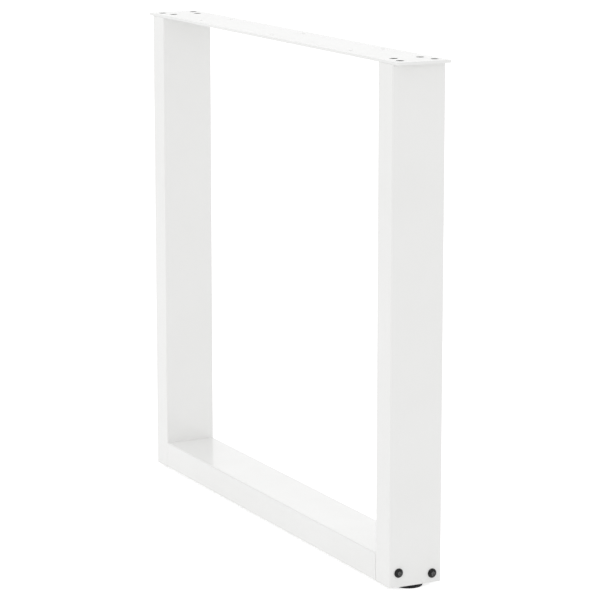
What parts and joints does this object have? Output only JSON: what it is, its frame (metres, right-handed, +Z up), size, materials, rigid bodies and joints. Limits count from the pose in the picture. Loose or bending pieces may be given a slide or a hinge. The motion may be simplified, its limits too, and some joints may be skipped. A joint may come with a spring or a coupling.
{
  "type": "u-shaped table leg",
  "caption": "U-shaped steel table leg: rectangular tube posts and bottom rail bolted together, a flat top plate to screw to a table top, and levelling feet.",
  "frame": {"origin": "on the floor, under the middle of the leg", "axes": "+X along the leg's width, +Y from the front face to the back face, +Z up towards the table top"},
  "size_m": [0.8, 0.08, 0.72],
  "materials": {
    "white_coat": "white powder coat, satin",
    "bare_steel": "zinc plated steel",
    "black_steel": "black oxide steel, satin",
    "black_plastic": "black moulded plastic, matte"
  },
  "bodies": {
    "frame": {"top_plate": "white_coat", "bottom_rail": "white_coat", "left_post": "white_coat", "right_post": "white_coat", "left_post_top_cap": "white_coat", "right_post_top_cap": "white_coat", "left_post_bottom_cap": "white_coat", "right_post_bottom_cap": "white_coat", "left_rail_end_plate": "white_coat", "right_rail_end_plate": "white_coat", "left_bolt_sleeves": "bare_steel", "right_bolt_sleeves": "bare_steel", "left_rail_bolts": "black_steel", "right_rail_bolts": "black_steel", "left_plate_screws": "black_steel", "right_plate_screws": "black_steel", "left_foot_nut": "bare_steel", "right_foot_nut": "bare_steel"},
    "left_foot": {"left_foot_pad": "black_plastic", "left_foot_stud": "bare_steel"},
    "right_foot": {"right_foot_pad": "black_plastic", "right_foot_stud": "bare_steel"}
  },
  "joints": [
    {"name": "left_foot_height", "type": "slide", "parent": "frame", "child": "left_foot", "axis": [0, 0, -1], "range_m": [0, 0.01]},
    {"name": "right_foot_height", "type": "slide", "parent": "frame", "child": "right_foot", "axis": [0, 0, -1], "range_m": [0, 0.01]}
  ]
}
